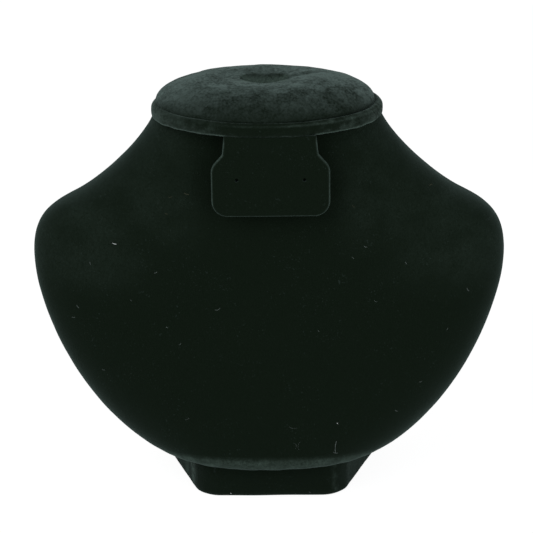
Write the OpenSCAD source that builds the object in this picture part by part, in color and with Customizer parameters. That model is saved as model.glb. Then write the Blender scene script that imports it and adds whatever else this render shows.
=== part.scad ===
// Velvet necklace stand.
// A moulded bust stands on a small flared foot. Its neck carries an oval cap
// with a slotted pad, and a pierced card hangs under the cap's front edge.
// Frame: X runs across the shoulders, Y runs to the back and Z is up.
// The origin is the middle of the foot's underside.

/* [Bust] */
// Width across the shoulders
bust_w = 192; // [170:1:220]
// Height from the top of the foot to the top of the neck
bust_h = 142; // [132:0.5:160]
// Distance from the middle of the foot forward to the neck's axis
bust_set = 2; // [0:0.5:6]
// Height of the widest line above the foot
widest_h = 86; // [76:0.5:94]
// Width where the shoulder runs into the neck's sweep
shoulder_w = 159.5; // [146:0.5:166]
// Height of that place above the foot
shoulder_h = 110; // [106:0.5:116]
// Slope of the shoulder there, in degrees
shoulder_slope = 26; // [15:1:32]
// Width of the neck under the cap
neck_w = 92; // [80:0.5:100]
// Depth of the neck under the cap
neck_d = 45; // [40:0.5:50]
// Slope of the neck's side at its top, in degrees
neck_slope = 65; // [50:0.5:80]
// Width of the flat rim that stands on the foot
lip_w = 64; // [54:1:72]
// How far the chest stands in front of the neck
chest_out = 18; // [12:0.5:24]
// How far the side edge leans forward at the bottom
edge_out = 17; // [12:0.5:20]
// Height of the rolled lower lip
lip_roll_h = 8; // [4:0.5:12]
// Depth of the rolled lower lip
lip_roll_d = 5; // [2:0.5:6]
// Lean of the flat back, in degrees
back_lean = 5.5; // [2:0.5:8]
// Distance of the flat back behind the neck's axis at the shoulders
back_set = 3; // [1:0.5:6]
// Wall of the moulded shell
shell_t = 2.5; // [1.5:0.1:3.5]
// Thickness of the velvet, pile included
velvet_t = 0.8; // [0.5:0.1:1.2]

/* [Back panel] */
// Rim of the shell beside the back panel
rim_w = 7; // [6:0.5:12]
// Height of the panel's top edge above the foot, up to the next ring
panel_top = 98; // [60:1:104]
// Thickness of the panel's board
panel_t = 2; // [1:0.1:2.4]

/* [Cap] */
// Width of the cap
cap_w = 93; // [88:0.5:110]
// Depth of the cap
cap_d = 67; // [60:0.5:80]
// Thickness of the cap's board
cap_board_t = 3.4; // [2.4:0.1:6]
// Radius on the cap's velvet edge
cap_edge_r = 1.4; // [0.6:0.1:1.6]
// Velvet turned under the cap's board, on to the neck's rim
turn_under = 15.5; // [15:0.5:18]
// Thickness of the plate that closes the neck
neck_plate_t = 4; // [3:0.5:8]

/* [Pad] */
// Step from the cap's edge in to the pad
pad_step = 1.6; // [1.4:0.1:4]
// Height of the pad's rounded side
pad_h = 9.6; // [7:0.1:11]
// Extra height of the pad's crown
pad_crown = 0.2; // [0:0.1:2]
// Distance over which the pad's side rounds into its crown
pad_edge_r = 19; // [6:0.5:20]
// Length of the slot
slot_l = 19; // [18:1:22]
// Width of the slot
slot_w = 4.4; // [3:0.1:5]
// Length of the slot's mouth
mouth_l = 24; // [23:1:30]
// Width of the slot's mouth
mouth_w = 11.5; // [6:0.5:14]
// Depth of the slot's mouth
mouth_d = 3.5; // [1.5:0.1:4]

/* [Card] */
// Width of the card
flap_w = 46.5; // [40:0.5:60]
// Width of the card's neck
flap_neck_w = 36; // [30:0.5:42]
// How much the card's neck widens to its foot, on each side
flap_neck_flare = 0.8; // [0:0.1:1.5]
// Length of the card below the cap
flap_h = 32; // [28:0.5:38]
// Height at which the card's neck ends
flap_neck_h = 7; // [5:0.5:9]
// Height over which the card's upper corners slope
flap_slope_h = 5.5; // [3:0.5:8]
// Cut on the card's lower corners
flap_corner = 3.6; // [3:0.1:6]
// Thickness of the card inside the velvet
card_t = 0.8; // [0.6:0.1:1.2]
// Distance of the card to the right of the middle
flap_shift = 1.6; // [0:0.1:3]
// Tilt of the card, its foot forward, in degrees
flap_tilt = 3; // [1:0.5:5]
// Distance of the card behind the cap's front edge
flap_set = 1.2; // [1:0.1:4]
// Depth of the tab that is glued under the cap
tab_d = 5.4; // [4:0.1:6]
// Diameter of the post holes
hole_d = 1.5; // [1:0.1:2]
// Distance between the post holes
hole_gap = 26.5; // [20:0.5:34]
// Distance of the post holes below the cap
hole_drop = 17; // [14:0.5:22]

/* [Foot] */
// Height of the foot
foot_h = 16; // [12:0.5:24]
// Depth of the foot
foot_d = 62; // [54:1:80]
// Width of the foot's front before its corners are rounded
foot_front_w = 58.6; // [54:1:70]
// Flare of the foot's sides, in degrees
foot_flare = 20; // [10:0.5:22]
// Radius of the foot's upright corners
foot_corner_r = 11; // [6:0.5:12]
// Radius on the velvet's upper edge
foot_edge_r = 1.6; // [0.8:0.1:2.5]
// Thickness of the sheet under the foot
sole_t = 1; // [0.8:0.1:2]
// Velvet turned under the foot's block
sole_margin = 6; // [4:0.5:10]
// Thickness of the block inside the bust's lower rim
base_block_t = 10; // [8:0.5:14]

/* [Screws] */
// Diameter of the screws
screw_d = 3; // [2.5:0.1:4]
// Diameter of the screw heads
screw_head_d = 6; // [5:0.1:7]
// Distance between the foot's screws
foot_screw_gap = 28; // [20:1:34]
// Depth of the foot's screws in the bust's block
foot_screw_bite = 7; // [4:0.5:8]
// Distance between the cap's screws
cap_screw_gap = 44; // [36:1:56]
// Depth of the cap's screws in the cap's board
cap_screw_bite = 2.4; // [1.5:0.1:2.4]

/* [Hidden] */

velvet_colour = [0.07, 0.10, 0.09];
board_colour = [0.55, 0.43, 0.30];
shell_colour = [0.16, 0.17, 0.18];
foam_colour = [0.75, 0.73, 0.66];
steel_colour = [0.70, 0.70, 0.72];

// Heights of the main levels above the table
neck_z = foot_h + bust_h;
cap_z = neck_z + cap_board_t + 2 * velvet_t;
wall_t = velvet_t + shell_t;
flap_t = card_t + 2 * velvet_t;
// Clearance of the pieces that sit inside the bust
fit_gap = 0.2;
// Clearance round a screw's shank
screw_gap = 0.2;
// Distance of the foot's screws behind its front edge, so the sole hides their heads
screw_margin = sole_margin + screw_head_d / 2 + 1;
// Extra length that carries a cut past a face
eps = 0.5;

// Pulls of the outline's curves, the lengths of their control arms
lip_pull = 35.5;
side_pull = 28;
round_pull = 12.3;
shoulder_pull = 13.5;
sweep_pull = 15.3;
neck_pull = 11.5;
// Slope of the outline where it leaves the flat rim, in degrees
lip_slope = 6;
// Roundness of the chest's section: 2 is an ellipse, more is fuller
chest_power = 2.45;
// Radius of the bust's back edge, within the rim
back_edge_r = 5;

// Steps of the bust's rings, upwards, and of each ring, round the bust
side_steps = 12;
round_steps = 6;
sweep_steps = 8;
front_steps = 28;
corner_steps = 3;
panel_steps = 6;
back_steps = 2 * corner_steps + 2 + panel_steps;
ring_steps = front_steps + back_steps;
// Columns between which the back is open for the panel
window_first = front_steps + corner_steps + 1;
window_last = window_first + panel_steps;
// The pad's foot is drawn in by this much, and its side is widest at this share of its height
pad_tuck = 1.2;
belly_share = 0.06;
// Squareness of the slot and of its mouth: 2 is an ellipse, more is squarer
slot_power = 5;
mouth_power = 2.6;
// Steps round the cap and along a rounded corner
oval_steps = 48;
corner_arc_steps = 6;

// General curves

function mix(a, b, s) = a + (b - a) * s;

function smooth(low, high, v) =
    let (t = max(0, min(1, (v - low) / (high - low))))
    t * t * (3 - 2 * t);

function polar(r, angle) = [r * cos(angle), r * sin(angle)];

function bezier(p, t) =
    pow(1 - t, 3) * p[0] + 3 * pow(1 - t, 2) * t * p[1] + 3 * (1 - t) * t * t * p[2] + pow(t, 3) * p[3];

function unit(v) = v / norm(v);

// A power of a sine or cosine that keeps its sign
function signed_pow(v, power) = sign(v) * pow(abs(v), power);

// Outward normal of the edge from a to b, in an outline that runs anticlockwise
function edge_normal(a, b) = unit([b.y - a.y, a.x - b.x]);

// The outline moved inwards by a distance
function inset(points, d) = [
    for (i = [0:len(points) - 1])
        let (
            n = len(points),
            before = edge_normal(points[(i + n - 1) % n], points[i]),
            after = edge_normal(points[i], points[(i + 1) % n]),
            m = before + after
        )
        points[i] - 2 * d * m / (m * m)
];

// The outline with its corners rounded, each by its own radius
function rounded(points, radii) = [
    for (i = [0:len(points) - 1])
        let (
            n = len(points),
            p = points[i],
            back = unit(points[(i + n - 1) % n] - p),
            ahead = unit(points[(i + 1) % n] - p),
            half = acos(back * ahead) / 2,
            turn = sign(cross([ahead.x, ahead.y], [back.x, back.y])),
            centre = p + unit(back + ahead) * radii[i] / sin(half),
            start = atan2(back.y, back.x) + 90 * turn
        )
        for (k = [0:corner_arc_steps])
            centre + polar(radii[i], start + turn * (180 - 2 * half) * k / corner_arc_steps)
];

// An oval of the given width and depth, round the neck's axis
function oval(width, depth, z) = [
    for (k = [0:oval_steps - 1])
        let (a = 360 * k / oval_steps)
        [width / 2 * cos(a), depth / 2 * sin(a) - bust_set, z]
];

// A closed solid through rings of equal count, with flat ends
module loft(rings) {
    n = len(rings[0]);
    top = len(rings) - 1;
    polyhedron(
        points = [for (ring = rings) each ring],
        faces = concat(
            [[for (j = [0:n - 1]) j]],
            [for (i = [0:top - 1], j = [0:n - 1])
                let (k = (j + 1) % n)
                each [[i * n + j, (i + 1) * n + j, (i + 1) * n + k], [i * n + j, (i + 1) * n + k, i * n + k]]],
            [[for (j = [n - 1:-1:0]) top * n + j]]
        ),
        convexity = 6
    );
}

// A solid with a hole through it: the last ring is joined to the first. Where its last rings
// line another solid, their facets are split the other way, so that both have the same edges
module loft_round(rings, lining = 0) {
    n = len(rings[0]);
    m = len(rings);
    polyhedron(
        points = [for (ring = rings) each ring],
        faces = [
            for (i = [0:m - 1], j = [0:n - 1])
                let (
                    a = i * n + j,
                    b = (i + 1) % m * n + j,
                    c = (i + 1) % m * n + (j + 1) % n,
                    d = i * n + (j + 1) % n
                )
                each i < m - lining || i == m - 1 ? [[a, b, c], [a, c, d]] : [[a, b, d], [b, c, d]]
        ],
        convexity = 10
    );
}

// Bust

// Half of the outline as seen from the front, upwards: half width and height over the foot
lip_point = [lip_w / 2, 0];
wide_point = [bust_w / 2, widest_h];
shoulder_point = [shoulder_w / 2, shoulder_h];
neck_point = [neck_w / 2, bust_h];
side_curve = [
    lip_point, lip_point + polar(lip_pull, lip_slope), wide_point - [0, side_pull], wide_point
];
round_curve = [
    wide_point, wide_point + [0, round_pull],
    shoulder_point + polar(shoulder_pull, -shoulder_slope), shoulder_point
];
sweep_curve = [
    shoulder_point, shoulder_point - polar(sweep_pull, -shoulder_slope),
    neck_point + polar(neck_pull, -neck_slope), neck_point
];
outline = concat(
    [for (k = [0:side_steps - 1]) bezier(side_curve, k / side_steps)],
    [for (k = [0:round_steps - 1]) bezier(round_curve, k / round_steps)],
    [for (k = [0:sweep_steps]) bezier(sweep_curve, k / sweep_steps)]
);
last_ring = len(outline) - 1;
// The ring that ends the opening for the back panel
window_ring = len([for (p = outline) if (p.y < panel_top) 1]);

// Depths at a height h over the foot, forward of the neck's axis being negative
function chest_y(h) = -neck_d / 2 - chest_out * (1 - smooth(0.1 * bust_h, 0.95 * bust_h, h));

function roll_in(h) =
    h < lip_roll_h ? lip_roll_d * (1 - sqrt(1 - pow(1 - h / lip_roll_h, 2))) : 0;

function edge_y(h) = -edge_out * (1 - smooth(0, bust_h, h));

function plane_y(h) = back_set - (shoulder_h - h) * tan(back_lean);

function neck_share(h) = smooth(shoulder_h, bust_h, h);

function back_y(h) = mix(plane_y(h), neck_d / 2, neck_share(h));

function front_xy(k, w, h) =
    let (
        power = 2 / mix(chest_power, 2, neck_share(h)),
        a = 180 * k / front_steps,
        front = chest_y(h) + roll_in(h)
    )
    [-w * signed_pow(cos(a), power), mix(edge_y(h), front, pow(sin(a), power))];

// The back of the chest is flat between rounded edges
function flat_xy(k, w, h) =
    k > back_steps / 2 ? let (p = flat_xy(back_steps - k, w, h)) [-p.x, p.y]
    : k <= corner_steps ?
        let (a = 90 * k / corner_steps)
        [w - back_edge_r * (1 - cos(a)), mix(edge_y(h), back_y(h), sin(a))]
    : [(w - rim_w) * (1 - 2 * (k - corner_steps - 1) / panel_steps), back_y(h)];

// The back of the neck is half an ellipse
function ellipse_xy(k, w, h) =
    let (a = 180 * k / back_steps)
    [w * cos(a), mix(edge_y(h), back_y(h), sin(a))];

function back_xy(k, w, h) = mix(flat_xy(k, w, h), ellipse_xy(k, w, h), neck_share(h));

function ring(w, h) = [
    for (k = [0:front_steps])
        let (p = front_xy(k, w, h))
        [p.x, p.y - bust_set, h + foot_h],
    for (k = [1:back_steps - 1])
        let (p = back_xy(k, w, h))
        [p.x, p.y - bust_set, h + foot_h]
];

form = [for (p = outline) ring(p.x, p.y)];

// Outward normals of the form; the first and last rings keep theirs level
form_normals = [
    for (i = [0:last_ring]) [
        for (j = [0:ring_steps - 1])
            let (
                along = form[i][(j + 1) % ring_steps] - form[i][(j + ring_steps - 1) % ring_steps],
                up = i == 0 || i == last_ring ? [0, 0, 1] : form[i + 1][j] - form[i - 1][j]
            )
            unit(cross(along, up))
    ]
];

// A point of the form, a depth t under its surface
function under(i, j, t) = form[i][j] - t * form_normals[i][j];

function layer(t) = [for (i = [0:last_ring], j = [0:ring_steps - 1]) under(i, j, t)];

// The wall between two depths under the form's surface, open at the foot, the neck and the panel
module form_wall(outer_t, inner_t) {
    n = ring_steps;
    m = n * (last_ring + 1);
    polyhedron(
        points = concat(layer(outer_t), layer(inner_t)),
        faces = [
            for (i = [0:last_ring - 1], j = [0:n - 1])
                let (
                    a = i * n + j,
                    b = i * n + (j + 1) % n,
                    c = b + n,
                    d = a + n,
                    open = i < window_ring && j >= window_first && j < window_last
                )
                if (!open) each [[a, d, c], [a, c, b], [a + m, b + m, c + m], [a + m, c + m, d + m]],
            for (j = [0:n - 1])
                let (a = last_ring * n + j, b = last_ring * n + (j + 1) % n)
                each [[a, a + m, b + m], [a, b + m, b]],
            for (j = [0:n - 1])
                let (b = (j + 1) % n)
                if (j < window_first || j >= window_last) each [[j, b, b + m], [j, b + m, j + m]],
            for (i = [0:window_ring - 1])
                let (a = i * n + window_first, d = a + n)
                each [[a, d, d + m], [a, d + m, a + m]],
            for (i = [0:window_ring - 1])
                let (a = i * n + window_last, d = a + n)
                each [[d, a, a + m], [d, a + m, d + m]],
            for (j = [window_first:window_last - 1])
                let (a = window_ring * n + j, b = a + 1)
                each [[a, b, b + m], [a, b + m, a + m]]
        ],
        convexity = 10
    );
}

module bust_velvet() {
    color(velvet_colour) form_wall(0, velvet_t);
}

module bust_shell() {
    color(shell_colour) form_wall(velvet_t, wall_t);
}

// Back panel

// The outline of the panel in its own plane, a distance d inside the opening it is pressed into
function panel_outline(d) =
    let (
        side = [
            for (i = [0:window_ring])
                [outline[i].x - rim_w - d, outline[i].y / cos(back_lean) - (i == window_ring ? d : 0)]
        ]
    )
    concat(side, [for (i = [window_ring:-1:0]) [-side[i].x, side[i].y]]);

// Places a slab on the back's plane, its thickness from depth t0 to t1 under the surface
module on_back(t0, t1) {
    translate([0, plane_y(0) - bust_set, foot_h])
        rotate([90 - back_lean, 0, 0])
            translate([0, 0, t0])
                linear_extrude(t1 - t0) children();
}

module back_panel() {
    color(board_colour)
        on_back(velvet_t, velvet_t + panel_t)
            polygon(panel_outline(velvet_t));
}

// The velvet lies on the panel and is turned round its edges
module back_velvet() {
    color(velvet_colour)
        difference() {
            on_back(0, velvet_t + panel_t) polygon(panel_outline(0));
            on_back(velvet_t, velvet_t + panel_t + eps) polygon(panel_outline(velvet_t));
        }
}

// Blocks that close the bust

// The plan of a ring, a depth t under the surface, with or without the stretch of the back panel
function plan(i, t, keep_all) = [
    for (j = [0:ring_steps - 1])
        if (keep_all || j <= window_first || j >= window_last)
            let (p = under(i, j, t))
            [p.x, p.y]
];

module base_block() {
    color(board_colour)
        difference() {
            translate([0, 0, foot_h])
                linear_extrude(base_block_t) polygon(plan(0, wall_t + fit_gap, false));
            at_foot_screws() cylinder(d = screw_d, h = foot_h + foot_screw_bite, $fn = 32);
        }
}

module neck_plate() {
    color(board_colour)
        difference() {
            translate([0, 0, neck_z - neck_plate_t])
                linear_extrude(neck_plate_t)
                    intersection() {
                        polygon(plan(last_ring, wall_t, true));
                        polygon(plan(last_ring - 2, wall_t, true));
                    }
            at_cap_screws()
                translate([0, 0, -eps])
                    cylinder(d = screw_d + 2 * screw_gap, h = neck_plate_t + 2 * eps, $fn = 32);
        }
}

// Cap

module oval_slab(width, depth, z0, z1) {
    translate([0, 0, z0])
        linear_extrude(z1 - z0) polygon([for (p = oval(width, depth, 0)) [p.x, p.y]]);
}

module cap_board() {
    color(board_colour)
        difference() {
            oval_slab(cap_w - 2 * velvet_t, cap_d - 2 * velvet_t, neck_z + velvet_t, cap_z - velvet_t);
            at_cap_screws()
                cylinder(d = screw_d, h = neck_plate_t + velvet_t + cap_screw_bite, $fn = 32);
        }
}

// The velvet wraps the board's edge and is turned under it
module cap_velvet() {
    edge = [for (k = [0:3]) cap_edge_r * [1 - sin(30 * k), 1 - cos(30 * k)]];
    color(velvet_colour)
        difference() {
            loft(concat(
                [for (e = edge) oval(cap_w - 2 * e.x, cap_d - 2 * e.x, neck_z + e.y)],
                [for (k = [3:-1:0]) oval(cap_w - 2 * edge[k].x, cap_d - 2 * edge[k].x, cap_z - edge[k].y)]
            ));
            oval_slab(cap_w - 2 * velvet_t, cap_d - 2 * velvet_t, neck_z + velvet_t, cap_z - velvet_t);
            oval_slab(cap_w - 2 * turn_under, cap_d - 2 * turn_under, neck_z - eps, neck_z + velvet_t + eps);
        }
}

// Pad

// A closed curve between an ellipse (power 2) and a long slot with round corners (higher powers)
function slot_oval(length, width, power, z) = [
    for (k = [0:oval_steps - 1])
        let (a = 360 * k / oval_steps)
        [length / 2 * signed_pow(cos(a), 2 / power), width / 2 * signed_pow(sin(a), 2 / power) - bust_set, z]
];

// The pad's surface at a depth t: up its side, over its crown and down into the slot
function pad_rings(t) =
    let (
        width = cap_w - 2 * pad_step - 2 * t,
        depth = cap_d - 2 * pad_step - 2 * t,
        side_top = cap_z + pad_h - t,
        belly = cap_z + belly_share * pad_h
    )
    concat(
        [slot_oval(width - pad_tuck, depth - pad_tuck, 2, cap_z), slot_oval(width, depth, 2, belly)],
        [for (a = [15:15:90])
            let (d = 2 * pad_edge_r * (1 - cos(a)))
            slot_oval(width - d, depth - d, 2, mix(belly, side_top, sin(a)))],
        [for (s = [0.75, 0.5, 0.25])
            slot_oval(
                mix(mouth_l + 2 * t, width - 2 * pad_edge_r, s), mix(mouth_w + 2 * t, depth - 2 * pad_edge_r, s),
                mix(mouth_power, 2, s), side_top + pad_crown * (1 - s * s)
            )],
        [for (a = [0:30:90])
            let (s = 1 - sin(a))
            slot_oval(
                mix(slot_l, mouth_l, s) + 2 * t, mix(slot_w, mouth_w, s) + 2 * t,
                mix(slot_power, mouth_power, s), side_top + pad_crown - mouth_d * (1 - cos(a))
            )],
        [slot_oval(slot_l + 2 * t, slot_w + 2 * t, slot_power, cap_z)]
    );

module pad_foam() {
    color(foam_colour) loft_round(pad_rings(velvet_t));
}

// The velvet covers the foam and lines the slot
module pad_velvet() {
    foam = pad_rings(velvet_t);
    lining = len(foam);
    color(velvet_colour)
        loft_round(concat(pad_rings(0), [for (i = [lining - 1:-1:0]) foam[i]]), lining);
}

// Card

// Corners of the card from its top left, anticlockwise, below the cap's underside
function flap_corners() =
    let (
        half = [
            [flap_w / 2 - flap_corner, -flap_h],
            [flap_w / 2, -flap_h + flap_corner],
            [flap_w / 2, -flap_neck_h - flap_slope_h],
            [flap_neck_w / 2 + flap_neck_flare, -flap_neck_h],
            [flap_neck_w / 2, 0]
        ]
    )
    concat(half, [for (i = [4:-1:0]) [-half[i].x, half[i].y]]);

function flap_outline(d) =
    let (radii = [3 - d, 3 - d, 3 - d, 2 + d, 0.01])
    rounded(inset(flap_corners(), d), concat(radii, [for (i = [4:-1:0]) radii[i]]));

// The place of the card's front face, under the cap
flap_place = [flap_shift, -bust_set - cap_d / 2 + flap_set, neck_z];

// The card and its glued tab, a depth d under the velvet
module flap_form(d) {
    translate(flap_place) {
        rotate([90 - flap_tilt, 0, 0])
            translate([0, 0, -flap_t + d])
                linear_extrude(flap_t - 2 * d) polygon(flap_outline(d));
        translate([-flap_neck_w / 2 + d, d, -flap_t + d])
            cube([flap_neck_w - 2 * d, tab_d - 2 * d, flap_t - 2 * d]);
    }
}

module post_holes() {
    translate(flap_place)
        rotate([90 - flap_tilt, 0, 0])
            for (side = [-1, 1])
                translate([side * hole_gap / 2, -hole_drop, -flap_t - eps])
                    cylinder(d = hole_d, h = flap_t + 2 * eps, $fn = 32);
}

module flap_card() {
    color(board_colour)
        difference() {
            flap_form(velvet_t);
            post_holes();
        }
}

module flap_velvet() {
    color(velvet_colour)
        difference() {
            flap_form(0);
            flap_form(velvet_t);
            post_holes();
        }
}

// Foot

// Corners of the foot from its front left, anticlockwise
foot_back_w = foot_front_w + 2 * foot_d * tan(foot_flare);
foot_corners = [
    [-foot_front_w / 2, -foot_d / 2], [foot_front_w / 2, -foot_d / 2],
    [foot_back_w / 2, foot_d / 2], [-foot_back_w / 2, foot_d / 2]
];

function foot_outline(d) =
    rounded(inset(foot_corners, d), [for (i = [0:3]) max(0.5, foot_corner_r - d)]);

function foot_ring(d, z) = [for (p = foot_outline(d)) [p.x, p.y, z]];

// The velvet stops just above the table, so the stand rests on its sole
lift = 0.2;

module foot_slab(d, z0, z1) {
    translate([0, 0, z0])
        linear_extrude(z1 - z0) polygon(foot_outline(d));
}

module foot_block() {
    color(board_colour)
        difference() {
            foot_slab(velvet_t, sole_t, foot_h - velvet_t);
            at_foot_screws() foot_screw_room();
        }
}

// The velvet covers the block's top and sides and is turned under it
module foot_velvet() {
    color(velvet_colour)
        difference() {
            loft(concat(
                [foot_ring(foot_edge_r / 2, lift), foot_ring(0, lift + foot_edge_r / 2)],
                [for (a = [0:22.5:90])
                    foot_ring(foot_edge_r * (1 - cos(a)), foot_h - foot_edge_r * (1 - sin(a)))]
            ));
            foot_slab(velvet_t, sole_t, foot_h - velvet_t);
            foot_slab(sole_margin, lift - eps, sole_t + eps);
            at_foot_screws() foot_screw_room();
        }
}

module foot_sole() {
    color(board_colour) foot_slab(sole_margin + fit_gap, 0, sole_t);
}

// Screws

module at_foot_screws() {
    for (side = [-1, 1])
        translate([side * foot_screw_gap / 2, screw_margin - foot_d / 2, 0]) children();
}

module at_cap_screws() {
    for (side = [-1, 1])
        translate([side * cap_screw_gap / 2, -bust_set, neck_z - neck_plate_t]) children();
}

screw_head_h = (screw_head_d - screw_d) / 2;

// The countersunk way of a foot screw through the foot
module foot_screw_room() {
    translate([0, 0, sole_t - eps])
        cylinder(d = screw_head_d, h = eps, $fn = 32);
    translate([0, 0, sole_t])
        cylinder(d1 = screw_head_d, d2 = screw_d, h = screw_head_h, $fn = 32);
    cylinder(d = screw_d + 2 * screw_gap, h = foot_h + eps, $fn = 32);
}

module foot_screws() {
    color(steel_colour)
        at_foot_screws() {
            translate([0, 0, sole_t])
                cylinder(d1 = screw_head_d, d2 = screw_d, h = screw_head_h, $fn = 32);
            translate([0, 0, sole_t])
                cylinder(d = screw_d, h = foot_h - sole_t + foot_screw_bite, $fn = 32);
        }
}

module cap_screws() {
    color(steel_colour)
        at_cap_screws() {
            translate([0, 0, -screw_head_h])
                cylinder(d = screw_head_d, h = screw_head_h, $fn = 32);
            cylinder(d = screw_d, h = neck_plate_t + velvet_t + cap_screw_bite, $fn = 32);
        }
}

bust_shell();
bust_velvet();
back_panel();
back_velvet();
base_block();
neck_plate();
cap_board();
cap_velvet();
pad_foam();
pad_velvet();
flap_card();
flap_velvet();
foot_block();
foot_velvet();
foot_sole();
foot_screws();
cap_screws();
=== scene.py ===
# %% [markdown]
# A velvet necklace stand, dressed for its picture.
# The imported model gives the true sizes: every piece below is made in metres in the same frame,
# X across the shoulders, Y to the back, Z up, with the origin in the middle of the foot's underside.
# Only the velvet shows, so nearly all the work goes into six velvet skins and their nap.

from math import atan2, cos, exp, pi, radians, sin, sqrt, tan

import bmesh
import bpy
from mathutils import Matrix, Vector, noise
from mathutils.bvhtree import BVHTree


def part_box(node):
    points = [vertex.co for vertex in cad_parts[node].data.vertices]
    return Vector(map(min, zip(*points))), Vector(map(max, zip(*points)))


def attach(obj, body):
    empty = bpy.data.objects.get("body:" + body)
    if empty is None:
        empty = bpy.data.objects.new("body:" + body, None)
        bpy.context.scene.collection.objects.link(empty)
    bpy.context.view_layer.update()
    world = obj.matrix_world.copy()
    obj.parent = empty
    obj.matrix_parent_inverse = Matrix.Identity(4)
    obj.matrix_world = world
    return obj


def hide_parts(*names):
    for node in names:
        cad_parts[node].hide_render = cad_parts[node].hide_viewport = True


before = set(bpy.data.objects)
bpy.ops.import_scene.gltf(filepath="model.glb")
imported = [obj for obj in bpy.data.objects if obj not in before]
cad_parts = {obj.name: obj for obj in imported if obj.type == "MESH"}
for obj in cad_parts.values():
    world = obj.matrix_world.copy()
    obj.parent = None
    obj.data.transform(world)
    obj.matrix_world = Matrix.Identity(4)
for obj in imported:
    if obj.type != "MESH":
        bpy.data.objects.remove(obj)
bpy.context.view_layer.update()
scene = bpy.context.scene
MM = 0.001


def node_box(node):
    """A node's lowest and highest corners."""
    return [Vector(corner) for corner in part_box(node)]


# %% [markdown]
# The camera comes first, because lint is later set on the velvet through its pixels.
# The photograph was taken from about 22 degrees above, with a long lens and a slight roll.
# A lens is chosen by its focal length in pixels, so that the stand fills the frame as it does there.

# %% Camera
PHOTO_PX = 533
VIEW_UP = radians(22.0)
VIEW_TURN = radians(-1.0)
VIEW_ROLL = radians(-0.85)
VIEW_DISTANCE = 850 * MM
AIM = Vector((0, -2, 85)) * MM
PX_PER_MM = 2.41
AIM_RIGHT_PX = 2.9
AIM_DOWN_PX = 15.3
FOCAL_PX = PX_PER_MM * VIEW_DISTANCE / MM

to_camera = Vector((-sin(VIEW_TURN) * cos(VIEW_UP), -cos(VIEW_TURN) * cos(VIEW_UP), sin(VIEW_UP)))
level_right = (-to_camera).cross(Vector((0, 0, 1))).normalized()
level_up = level_right.cross(-to_camera)
view_right = level_right * cos(VIEW_ROLL) + level_up * sin(VIEW_ROLL)
view_up = level_up * cos(VIEW_ROLL) - level_right * sin(VIEW_ROLL)
camera_place = AIM + to_camera * VIEW_DISTANCE

lens = bpy.data.cameras.new("camera")
lens.sensor_width = 36
lens.lens = FOCAL_PX / PHOTO_PX * lens.sensor_width
lens.shift_x = -AIM_RIGHT_PX / PHOTO_PX
lens.shift_y = AIM_DOWN_PX / PHOTO_PX
lens.clip_start = 0.05
camera = bpy.data.objects.new("camera", lens)
camera_turn = Matrix((view_right, view_up, to_camera)).transposed().to_4x4()
camera.matrix_world = Matrix.Translation(camera_place) @ camera_turn
scene.collection.objects.link(camera)
scene.camera = camera
print("lens in mm:", round(lens.lens, 1))


def pixel_ray(x, y):
    """The direction in which the camera looks through a pixel of the photograph."""
    across = x - PHOTO_PX / 2 - AIM_RIGHT_PX
    down = y - PHOTO_PX / 2 - AIM_DOWN_PX
    return (view_right * across - view_up * down - to_camera * FOCAL_PX).normalized()


# %% [markdown]
# Every piece ends the same way: its bmesh becomes a mesh, gets smooth shading and a material,
# rides on the stand and takes the place of the plain solid that it dresses.
# A subdivision surface is worked out at once, so that later steps can move its fine points.
# Along folds and edges the velvet catches the light and looks paler, and that highlight is painted into
# its colour. Each piece may therefore carry an attribute of painted highlight, which its shader reads.

# %% Helpers for pieces
def finish_mesh(name, shape):
    """Turns a bmesh into an object with smooth shading."""
    bmesh.ops.recalc_face_normals(shape, faces=shape.faces)
    mesh = bpy.data.meshes.new(name)
    shape.to_mesh(mesh)
    shape.free()
    mesh.shade_smooth()
    piece = bpy.data.objects.new(name, mesh)
    scene.collection.objects.link(piece)
    return piece


def taken_back(piece):
    """Gives an object's shape as a bmesh, with its modifiers applied, and removes the object."""
    shape = bmesh.new()
    shape.from_object(piece, bpy.context.evaluated_depsgraph_get())
    mesh = piece.data
    bpy.data.objects.remove(piece)
    bpy.data.meshes.remove(mesh)
    return shape


def rounded_by_subdivision(shape, levels):
    """Subdivides a bmesh as a subdivision surface does, and gives the fine bmesh back."""
    cage = finish_mesh("cage", shape)
    surface = cage.modifiers.new("surface", "SUBSURF")
    surface.levels = surface.render_levels = levels
    return taken_back(cage)


def bevelled(shape, parts, radius, segments, affect="EDGES", clamp=True):
    bmesh.ops.bevel(
        shape, geom=parts, affect=affect, offset=radius, segments=segments, profile=0.5, material=-1,
        clamp_overlap=clamp,
    )


def in_order(shape):
    """Sorts a bmesh by place, because some operators leave its parts in another order on each run."""
    for parts, key in (
        (shape.verts, lambda point: tuple(point.co)),
        (shape.edges, lambda edge: sorted(point.index for point in edge.verts)),
        (shape.faces, lambda face: sorted(point.index for point in face.verts)),
    ):
        for rank, part in enumerate(sorted(parts, key=key)):
            part.index = rank
        parts.sort()
        parts.index_update()
    return shape


def grow(shape, edges):
    """Extrudes edges in place, and gives the new points and the new edges."""
    grown = bmesh.ops.extrude_edge_only(shape, edges=edges)["geom"]
    points = [v for v in grown if isinstance(v, bmesh.types.BMVert)]
    return points, [e for e in grown if isinstance(e, bmesh.types.BMEdge)]


def dress(name, shape, node, finish, painted_highlight=None):
    """Makes the piece that stands for a node. The last argument gives 0 to 1 for a point of the shape:
    its painted highlight.
    """
    shape.normal_update()
    highlight_amounts = [painted_highlight(point) for point in shape.verts] if painted_highlight else None
    piece = finish_mesh(name, shape)
    if highlight_amounts:
        piece.data.attributes.new("painted_highlight", "FLOAT", "POINT").data.foreach_set("value", highlight_amounts)
    piece.data.materials.append(finish)
    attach(piece, "root")
    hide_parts(node)
    print(name, "has", sum(len(p.vertices) - 2 for p in piece.data.polygons), "triangles")
    return piece


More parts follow.
